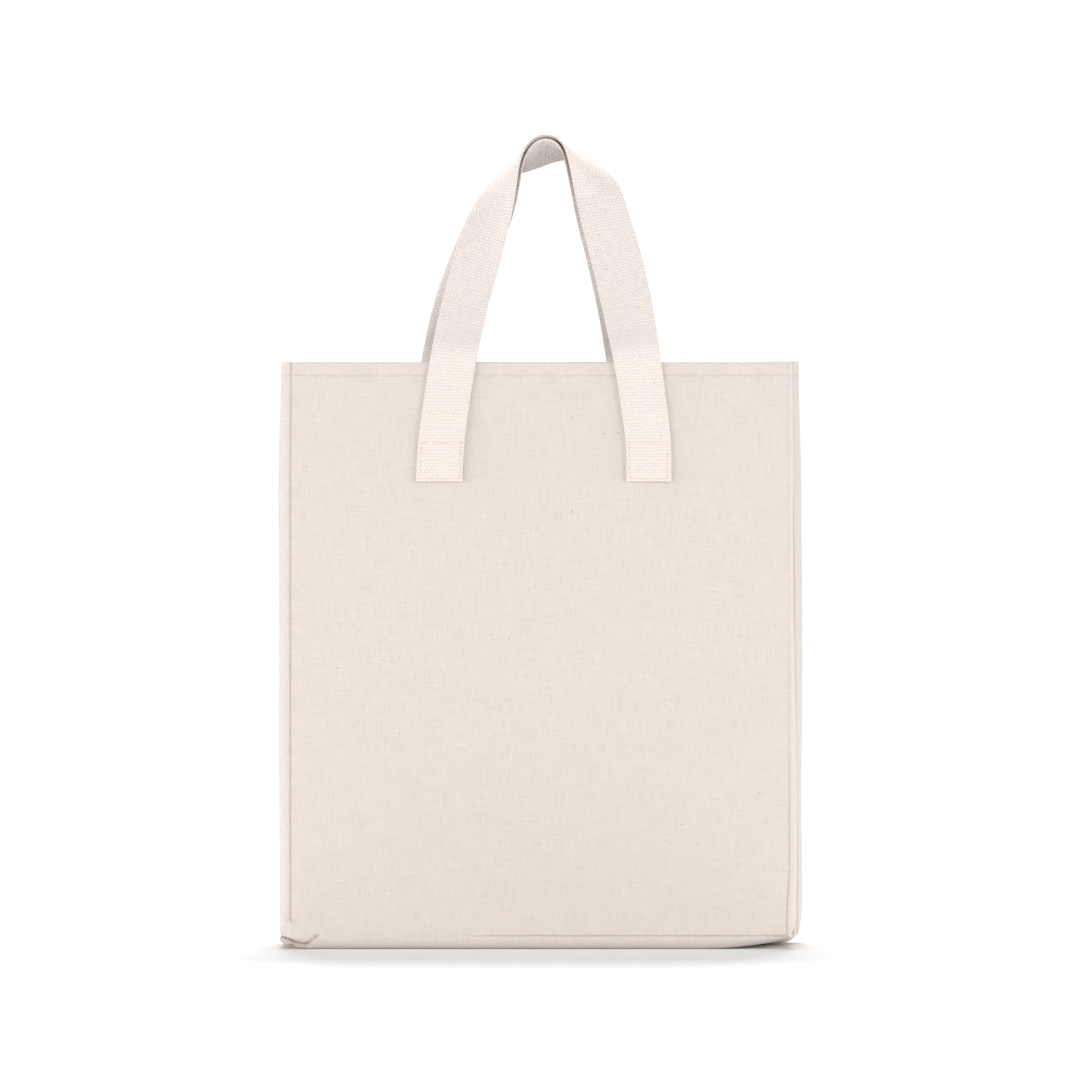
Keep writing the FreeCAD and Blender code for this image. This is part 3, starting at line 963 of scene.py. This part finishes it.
def sew(name, lines, tree, settings, material):
    """Stitches along lines, each a list of points and outward directions in millimetres."""
    verts, edges, outward = [], [], []
    for points, normals in lines:
        start = len(verts)
        verts += [tuple(p * TO_M) for p in np.asarray(points)]
        outward += [tuple(n) for n in np.asarray(normals)]
        edges += [(start + i, start + i + 1) for i in range(len(points) - 1)]
    mesh = bpy.data.meshes.new(name + "_lines")
    mesh.from_pydata(verts, edges, [])
    attribute = mesh.attributes.new("outward", "FLOAT_VECTOR", "POINT")
    attribute.data.foreach_set("vector", np.array(outward, np.float32).ravel())
    obj = bpy.data.objects.new(name, mesh)
    bpy.context.scene.collection.objects.link(obj)
    modifier = obj.modifiers.new("stitches", "NODES")
    modifier.node_group = tree
    values = {
        "Pitch": settings.stitch_pitch,
        "Stitch length": settings.stitch_length,
        "Thread radius": settings.thread_radius,
    }
    for item in tree.interface.items_tree:
        if item.in_out == "INPUT" and item.name in values:
            modifier[item.identifier] = values[item.name]
    graph = bpy.context.evaluated_depsgraph_get()
    graph.update()
    made = bpy.data.meshes.new_from_object(obj.evaluated_get(graph))
    obj.modifiers.clear()
    obj.data = made
    made.name = name
    bpy.data.meshes.remove(mesh)
    if not made.polygons:
        raise RuntimeError(f"{name} has no stitches")
    made.polygons.foreach_set("use_smooth", [True] * len(made.polygons))
    if not made.materials:
        made.materials.append(material)
    return obj


# ---------------------------------------------------------------- webbing


def spline(points, per_span):
    """A smooth cubic B-spline through the neighbourhood of each point, ending on the first and last."""
    points = np.asarray(points, float)
    padded = np.concatenate([points[:1] * 2 - points[1:2], points, points[-1:] * 2 - points[-2:-1]])
    out = []
    for i in range(len(points) - 1):
        p0, p1, p2, p3 = padded[i : i + 4]
        for j in range(per_span + (1 if i == len(points) - 2 else 0)):
            t = j / per_span
            near = (3 * t**3 - 6 * t**2 + 4) * p1 + (-3 * t**3 + 3 * t**2 + 3 * t + 1) * p2
            out.append(((1 - t) ** 3 * p0 + near + t**3 * p3) / 6.0)
    return np.array(out)


def webbing_depth(height, face):
    """Where the middle of the webbing's width lies in Y above the mouth, front or back.

    At the top the back strap lies inside the front one and its near edge stands out a little.
    """
    over = np.clip(APEX_Z - height, 0.0, None)
    near_mouth = np.clip((545.0 - height) / 127.0, 0.0, 1.0) ** 2
    nested = 1.8 * ramp(height, 556.0, 574.0) * (face > 0.0)
    return face * (0.205 * over + 17.6 * near_mouth) - nested


def webbing_edges(stations, face, settings):
    """The two edges of one handle in space, sampled along its length."""
    path = spline(stations, 10)
    inner_xz, outer_xz = path[:, :2], path[:, 2:]
    across = np.hypot(*(inner_xz - outer_xz).T)
    height = (inner_xz[:, 1] + outer_xz[:, 1]) / 2.0
    turned = np.sqrt(np.maximum(WEBBING_WIDTH**2 - across**2, 0.0)) * ramp(height, 470.0, 525.0)
    middle = (inner_xz + outer_xz) / 2.0
    panel_y = np.full(len(path), face * HALF_DEPTH)
    box = np.stack([middle[:, 0], panel_y, np.minimum(middle[:, 1], HEIGHT)], 1)
    surface, _ = cloth_surface(box, settings)
    half = TO_MM * settings.webbing_thickness / 2.0
    on_panel = surface[:, 1] + face * (half + 0.35)
    share = ramp(height, HEIGHT - 4.0, HEIGHT + 24.0)
    turning = ramp(height, 500.0, 550.0)
    lead = inner_xz[:, 1] * turning + height * (1.0 - turning)
    y = on_panel * (1.0 - share) + webbing_depth(np.maximum(lead, HEIGHT), face) * share
    inner = np.stack([inner_xz[:, 0], y - turned / 2.0, inner_xz[:, 1]], 1)
    outer = np.stack([outer_xz[:, 0], y + turned / 2.0, outer_xz[:, 1]], 1)
    return inner, outer


def webbing_solid(inner, outer, face, settings, name, material, start_length):
    """A strip of webbing with rounded edges between its two edge lines."""
    half = TO_MM * settings.webbing_thickness / 2.0
    count = len(inner)
    middle = (inner + outer) / 2.0
    along = np.gradient(middle, axis=0)
    width = outer - inner
    normal = np.cross(along, width)
    normal /= np.linalg.norm(normal, axis=1)[:, None]
    if np.sum(normal[:3, 1]) * face < 0.0:
        normal = -normal
    length = np.linalg.norm(width, axis=1)
    unit = width / length[:, None]
    steps = np.linalg.norm(np.diff(middle, axis=0), axis=1)
    v = start_length + np.concatenate([[0.0], np.cumsum(steps)])
    ring = np.linspace(0.0, 1.0, 13)
    bends = [(0.707, 0.707), (1.0, 0.0), (0.707, -0.707)]
    section = [(s, 0.0, 1.0) for s in ring] + [(1.0, out, up) for out, up in bends]
    section += [(s, 0.0, -1.0) for s in ring[::-1]] + [(0.0, -out, -up) for out, up in bends]
    verts, uvs, shades = [], [], []
    for share, out, up in section:
        base = inner + unit * half + (width - 2.0 * unit * half) * share
        verts.append(base + unit * out * half + normal * up * half)
        u = share * length + out * half
        uvs.append(np.stack([u, v + (40.0 if up < 0.0 else 0.0)], 1))
        # Painted shade: where the straps lie in each other, the inner strip of the inside face is darkened
        # deeply, and the rounded edges a little, where shade falls.
        nested = 0.55 * ramp(middle[:, 2], 535.0, 555.0) if up < 0.0 and share < 0.1 else 0.0
        shades.append(np.zeros(count) + nested + (0.08 if abs(out) > 0.9 else 0.0))
    size = len(section)
    verts = np.stack(verts, 1).reshape(-1, 3)
    uvs = np.stack(uvs, 1).reshape(-1, 2)
    shades = np.stack(shades, 1).ravel()
    polys = []
    for i in range(count - 1):
        for j in range(size):
            a, b = i * size + j, i * size + (j + 1) % size
            polys.append((a, b, b + size, a + size))
    polys.append(tuple(reversed(range(size))))
    polys.append(tuple(range((count - 1) * size, count * size)))
    a, b, c, d = (verts[np.array(polys[: size * (count - 1)])[:, k]] for k in range(4))
    outward = np.sum(np.cross(c - a, d - b) * ((a + b + c + d) / 4.0 - verts.mean(0)))
    if outward < 0.0:
        polys = [tuple(reversed(p)) for p in polys]
    return new_piece(name, verts, polys, uvs, shades, material, 60.0)


# ---------------------------------------------------------------- operators


def follow(obj, region):
    """Make a piece move with the one body its region of cloth follows; a piece whose region turns between two
    bodies is fixed where it stands.
    """
    first, *turn = FOLLOWS[region]
    if turn:
        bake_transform(obj)
    else:
        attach(obj, first)


class TOTE_OT_make_cloth(bpy.types.Operator):
    """Make the sewn canvas: panels, gussets, base and corners, each with its share of the hem"""

    bl_idname = "tote.make_cloth"
    bl_label = "Make the canvas"

    def execute(self, context):
        settings = context.scene.tote_bag
        canvas = material_named("unbleached_cotton_canvas", canvas_material, settings)
        shell = Shell(settings)
        for region, store in shell.regions.items():
            obj = new_piece(f"{region}_cloth", *shell.solid(region), canvas)
            spread = np.array(list(store["uv"].values()))
            width, length = np.ptp(spread, axis=0)
            area = store["area"]
            if spread[:, 1].max() > HEIGHT - 2.0 * TOP_ROUND:
                length += HEM_TURNED_IN
                area += width * HEM_TURNED_IN
            if region in FOLLOWS:
                follow(obj, region)
            else:
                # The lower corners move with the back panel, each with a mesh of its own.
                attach(obj, "back_panel")
                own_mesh(obj)
            if region in CLOTH_NODES:
                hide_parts(*CLOTH_NODES[region])
        return {"FINISHED"}


def on_face(x, z, face, lift, settings):
    """A line of points over the front (-1) or back (1) of the cloth, lifted off it, and the way they face."""
    x, z = np.broadcast_arrays(np.asarray(x, float), np.asarray(z, float))
    place, _ = cloth_surface(np.stack([x, np.full(len(x), face * HALF_DEPTH), z], 1), settings)
    return place + np.array([0.0, face * lift, 0.0]), np.tile([0.0, face, 0.0], (len(x), 1))


def seam_lines(face, settings):
    """The seam round one panel, sunk into the cloth, with a small knot at each end."""
    lines = []
    for x in (-SEAM_X, SEAM_X):
        foot = 23.0 if (x < 0.0 and face < 0.0) else 12.0
        lines.append(on_face(x, np.arange(foot, 400.0, 6.0), face, -0.25, settings))
    lines.append(on_face(np.arange(-SEAM_X + 12.0, SEAM_X - 2.0, 6.0), BASE_ROUND, face, -0.25, settings))
    turns = np.array(((-1.2, 0.6), (1.0, 1.0), (1.3, -0.7), (-0.6, -1.1), (-1.1, 0.4)))
    for x, z in ((-SEAM_X + 0.3, 20.0), (SEAM_X - 2.4, 10.0)):
        lines.append(on_face(x + turns[:, 0], z + turns[:, 1], face, 0.7, settings))
    return lines


def tab_line(inner, outer, side, face, settings):
    """The rectangle of stitching that holds one end of a handle to its panel."""
    lift = face * (TO_MM * settings.webbing_thickness / 2.0 + 0.02)
    mine = inner[:, 0] < 0.0 if side == "left" else inner[:, 0] > 0.0
    order = np.argsort(inner[mine][:, 2])
    edges = [edge[mine][order] for edge in (inner, outer)]

    def at(z, share):
        first, second = (np.array([np.interp(z, e[:, 2], e[:, i]) for i in range(3)]) for e in edges)
        width = np.linalg.norm(second - first)
        share = (TAB_INSET + share * (width - 2.0 * TAB_INSET)) / width
        x, y, _ = first + (second - first) * share
        return x, y + lift, z

    heights = np.linspace(TAB_LOW, TAB_HIGH, 8)
    shares = np.linspace(0.0, 1.0, 8)
    points = [at(TAB_HIGH, s) for s in shares]
    points += [at(z, 1.0) for z in heights[::-1][1:]]
    points += [at(TAB_LOW, s) for s in shares[::-1][1:]]
    points += [at(z, 0.0) for z in heights[1:]]
    return np.array(points), np.tile([0.0, face, 0.0], (len(points), 1))


class TOTE_OT_make_stitching(bpy.types.Operator):
    """Make the rows of stitching along the hem, the seams and the ends of the handles"""

    bl_idname = "tote.make_stitching"
    bl_label = "Make the stitching"

    def execute(self, context):
        settings = context.scene.tote_bag
        thread = material_named("spun_cotton_thread", thread_material, settings)
        shell = Shell(settings)
        stitch = stitch_mesh()
        tree = stitch_tree(stitch, thread)
        for region, nodes in HEM_NODES.items():
            outside = shell.row(region, HEM_STITCH_Z, 0.1)
            inside = shell.row(region, HEM_STITCH_Z, 0.1, inside=True)
            outward = outside - inside
            outward /= np.linalg.norm(outward, axis=1)[:, None]
            lines = [(outside, outward), (inside, -outward)]
            obj = sew(f"{region}_hem_stitches", lines, tree, settings, thread)
            follow(obj, region)
            if nodes:
                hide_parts(*nodes)
        for face, name, stations in HANDLES:
            obj = sew(f"{name}_seam_stitches", seam_lines(face, settings), tree, settings, thread)
            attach(obj, f"{name}_panel")
            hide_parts(f"{name}_seam_thread")
        for face, name, stations in HANDLES:
            inner, outer = webbing_edges(stations, face, settings)
            for side in ("left", "right"):
                line = tab_line(inner, outer, side, face, settings)
                obj = sew(f"{name}_{side}_tab_stitches", [line], tree, settings, thread)
                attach(obj, f"{name}_panel")
                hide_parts(f"{name}_{side}_tab_thread")
        bpy.data.objects.remove(stitch)
        return {"FINISHED"}


class TOTE_OT_make_handles(bpy.types.Operator):
    """Make the two webbing handles and the tabs that hold them"""

    bl_idname = "tote.make_handles"
    bl_label = "Make the handles"

    def execute(self, context):
        settings = context.scene.tote_bag
        webbing = material_named("woven_cotton_webbing", webbing_material, settings)
        for face, name, stations in HANDLES:
            inner, outer = webbing_edges(stations, face, settings)
            above = np.nonzero((inner[:, 2] + outer[:, 2]) / 2.0 > WEBBING_CUT_Z)[0]
            first, last = above[0], above[-1]
            panel, root, loop = f"{name}_panel", f"{name}_handle_root", f"{name}_handle"
            arch = f"{name}_handle_loop"
            left = (f"{name}_left_tab", f"{name}_left_handle_root")
            right = (f"{name}_right_tab", f"{name}_right_handle_root")
            # Each stretch: its piece, its cut, its place along the woven pattern, and the fold it crosses.
            for piece, cut, start, nodes, bodies, low, high in (
                (f"{name}_left_tab", slice(0, first + 1), 0.0, left, (panel, root), 0.358, 0.368),
                (arch, slice(first, last + 1), 63.0, (arch,), (root, loop), 0.406, 0.430),
                (f"{name}_right_tab", slice(last, len(inner)), 700.0, right, (panel, root), 0.358, 0.368),
            ):
                edges = inner[cut], outer[cut]
                obj = webbing_solid(*edges, face, settings, f"{piece}_webbing", webbing, start)
                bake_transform(obj)
                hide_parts(*nodes)
        return {"FINISHED"}


# Each softbox: its place in metres, its turn in degrees, its size in metres and its power in watts.
SOFTBOXES = {
    "front_softbox": ((-0.4, -6.2, 1.4), (79.0, 0.0, -4.0), (2.4, 1.4), 150.0),
    "left_softbox": ((-3.3, -1.25, 0.65), (84.0, 0.0, -70.0), (2.2, 1.1), 92.0),
    "right_softbox": ((3.3, -1.25, 0.65), (84.0, 0.0, 70.0), (2.2, 1.1), 92.0),
    "top_softbox": ((0.05, 1.95, 4.0), (-25.5, 0.0, 0.0), (1.7, 1.7), 170.0),
}
FLOOR_HALF_WIDTH, FLOOR_FRONT, FLOOR_BACK = 1.5, -1.7, 0.6
ROOM_LIGHT, BACKDROP_EXTRA = 0.45, 0.57
CAMERA_PLACE, CAMERA_LENS = (0.0, -5.55, 0.2906), 258.3


class TOTE_OT_make_stage(bpy.types.Operator):
    """Make the white paper floor, the soft lights and the camera"""

    bl_idname = "tote.make_stage"
    bl_label = "Make the stage"

    def execute(self, context):
        scene = context.scene
        mesh = bpy.data.meshes.new("paper_floor")
        wide = FLOOR_HALF_WIDTH
        corners = ((-wide, FLOOR_FRONT), (wide, FLOOR_FRONT), (wide, FLOOR_BACK), (-wide, FLOOR_BACK))
        mesh.from_pydata([(x, y, 0.0) for x, y in corners], [], [(0, 1, 2, 3)])
        mesh.materials.append(paper_material())
        floor = bpy.data.objects.new("paper_floor", mesh)
        scene.collection.objects.link(floor)
        world = bpy.data.worlds.new("soft_white_room")
        world.use_nodes = True
        tree = world.node_tree
        tree.nodes.clear()
        # The backdrop is lit on its own and shows white; about half of that light reaches the bag.
        seen = add(tree, "ShaderNodeLightPath").outputs["Is Camera Ray"]
        strength = layered(tree, ROOM_LIGHT, (seen, BACKDROP_EXTRA))
        back = add(tree, "ShaderNodeBackground", None, Color=linear("#FFFFFF"), Strength=strength)
        add(tree, "ShaderNodeOutputWorld", None, Surface=back)
        scene.world = world
        for name, (place, turn, size, power) in SOFTBOXES.items():
            lamp = bpy.data.lights.new(name, "AREA")
            lamp.shape = "RECTANGLE"
            lamp.size, lamp.size_y = size
            lamp.energy = power
            light = bpy.data.objects.new(name, lamp)
            light.location = place
            light.rotation_euler = [math.radians(a) for a in turn]
            scene.collection.objects.link(light)
        lens = bpy.data.cameras.new("camera")
        lens.sensor_width = 36.0
        lens.lens = CAMERA_LENS
        lens.clip_end = 30.0
        camera = bpy.data.objects.new("camera", lens)
        camera.location = CAMERA_PLACE
        camera.rotation_euler = (math.radians(90.0), 0.0, 0.0)
        scene.collection.objects.link(camera)
        scene.camera = camera
        scene.view_settings.view_transform = "Standard"
        scene.view_settings.look = "None"
        return {"FINISHED"}


class TOTE_PT_panel(bpy.types.Panel):
    """Sidebar with the bag's settings and the buttons that build it"""

    bl_idname = "TOTE_PT_panel"
    bl_label = "Canvas tote bag"
    bl_space_type = "VIEW_3D"
    bl_region_type = "UI"
    bl_category = "Tote bag"

    def draw(self, context):
        settings = context.scene.tote_bag
        for name in ToteBagSettings.__annotations__:
            self.layout.prop(settings, name)
        for operator in OPERATORS:
            self.layout.operator(operator.bl_idname)


OPERATORS = (TOTE_OT_make_cloth, TOTE_OT_make_stitching, TOTE_OT_make_handles, TOTE_OT_make_stage)
CLASSES = (ToteBagSettings, *OPERATORS, TOTE_PT_panel)


def register():
    """Add the classes and the scene's settings."""
    for one in CLASSES:
        bpy.utils.register_class(one)
    bpy.types.Scene.tote_bag = bpy.props.PointerProperty(type=ToteBagSettings)


def unregister():
    """Take them away again."""
    del bpy.types.Scene.tote_bag
    for one in reversed(CLASSES):
        bpy.utils.unregister_class(one)


def main():
    """Build everything in order."""
    register()
    bpy.ops.tote.make_cloth()
    bpy.ops.tote.make_stitching()
    bpy.ops.tote.make_handles()
    bpy.ops.tote.make_stage()


if __name__ == "__main__":
    main()
